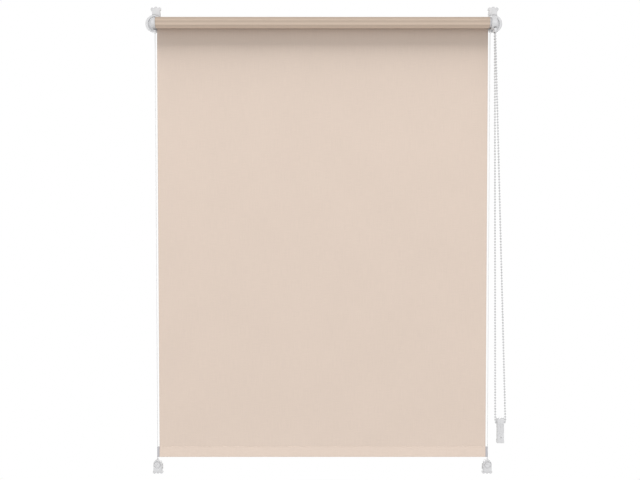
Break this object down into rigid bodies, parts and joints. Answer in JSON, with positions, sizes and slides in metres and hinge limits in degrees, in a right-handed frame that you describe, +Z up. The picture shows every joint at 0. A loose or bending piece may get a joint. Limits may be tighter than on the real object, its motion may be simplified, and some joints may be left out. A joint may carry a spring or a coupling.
{
  "type": "roller blind",
  "caption": "Clamp-on roller blind: cloth on a roller hung from sash hooks, wound by a bead chain, with a weighted hem that runs on side guide wires between the hooks and lower clamps.",
  "frame": {"origin": "on the top front edge of the window sash that the hooks sit on, midway along the cloth's width", "axes": "+X to the right seen from the room, +Y away from the room through the sash, +Z up"},
  "size_m": [0.7711, 0.0585, 0.9977],
  "materials": {
    "white_plastic": "smooth moulded white",
    "grey_plastic": "smooth moulded light grey",
    "bead_plastic": "glossy moulded beads",
    "chain_cord": "twisted white cord",
    "wire_nylon": "smooth nylon line",
    "roll_cloth": "plain weave, reverse side",
    "panel_cloth": "plain weave, pale rose beige",
    "tube_metal": "drawn",
    "spring_steel": "drawn wire"
  },
  "bodies": {
    "frame": {"sash_hook_left": "white_plastic", "sash_hook_right": "white_plastic", "bracket_left": "white_plastic", "bracket_right": "white_plastic", "idle_holder": "white_plastic", "chain_housing": "white_plastic", "housing_cap": "white_plastic", "brake_spring": "spring_steel", "guide_wire_left": "wire_nylon", "guide_wire_right": "wire_nylon", "lower_clamp_left": "white_plastic", "lower_clamp_right": "white_plastic", "chain_cord": "chain_cord", "bead_chain": "bead_plastic", "chain_holder": "white_plastic", "fabric_panel": "panel_cloth"},
    "roller": {"roller_tube": "tube_metal", "idle_plug": "grey_plastic", "fabric_roll": "roll_cloth", "drive_wheel": "grey_plastic"},
    "bottom_bar": {"hem_pocket": "panel_cloth", "bottom_slat": "tube_metal", "end_cap_left": "grey_plastic", "end_cap_right": "grey_plastic"},
    "knob_left": {"tension_knob_left": "white_plastic"},
    "knob_right": {"tension_knob_right": "white_plastic"}
  },
  "joints": [
    {"name": "roller_spin", "type": "hinge", "parent": "frame", "child": "roller", "pos_m": [0, -0.025, -0.0295], "axis": [1, 0, 0], "range_deg": [0, 3560]},
    {"name": "bar_lift", "type": "slide", "parent": "frame", "child": "bottom_bar", "axis": [0, 0, 1], "range_m": [0, 0.87], "deforming": ["fabric_panel"]},
    {"name": "knob_left_turn", "type": "hinge", "parent": "frame", "child": "knob_left", "pos_m": [-0.3542, -0.015, -0.9686], "axis": [0, 1, 0], "continuous": true},
    {"name": "knob_right_turn", "type": "hinge", "parent": "frame", "child": "knob_right", "pos_m": [0.3542, -0.015, -0.9686], "axis": [0, 1, 0], "continuous": true}
  ],
  "couplings": [
    {"joint": "bar_lift", "follows": "roller_spin", "m_per_rad": 0.014}
  ]
}
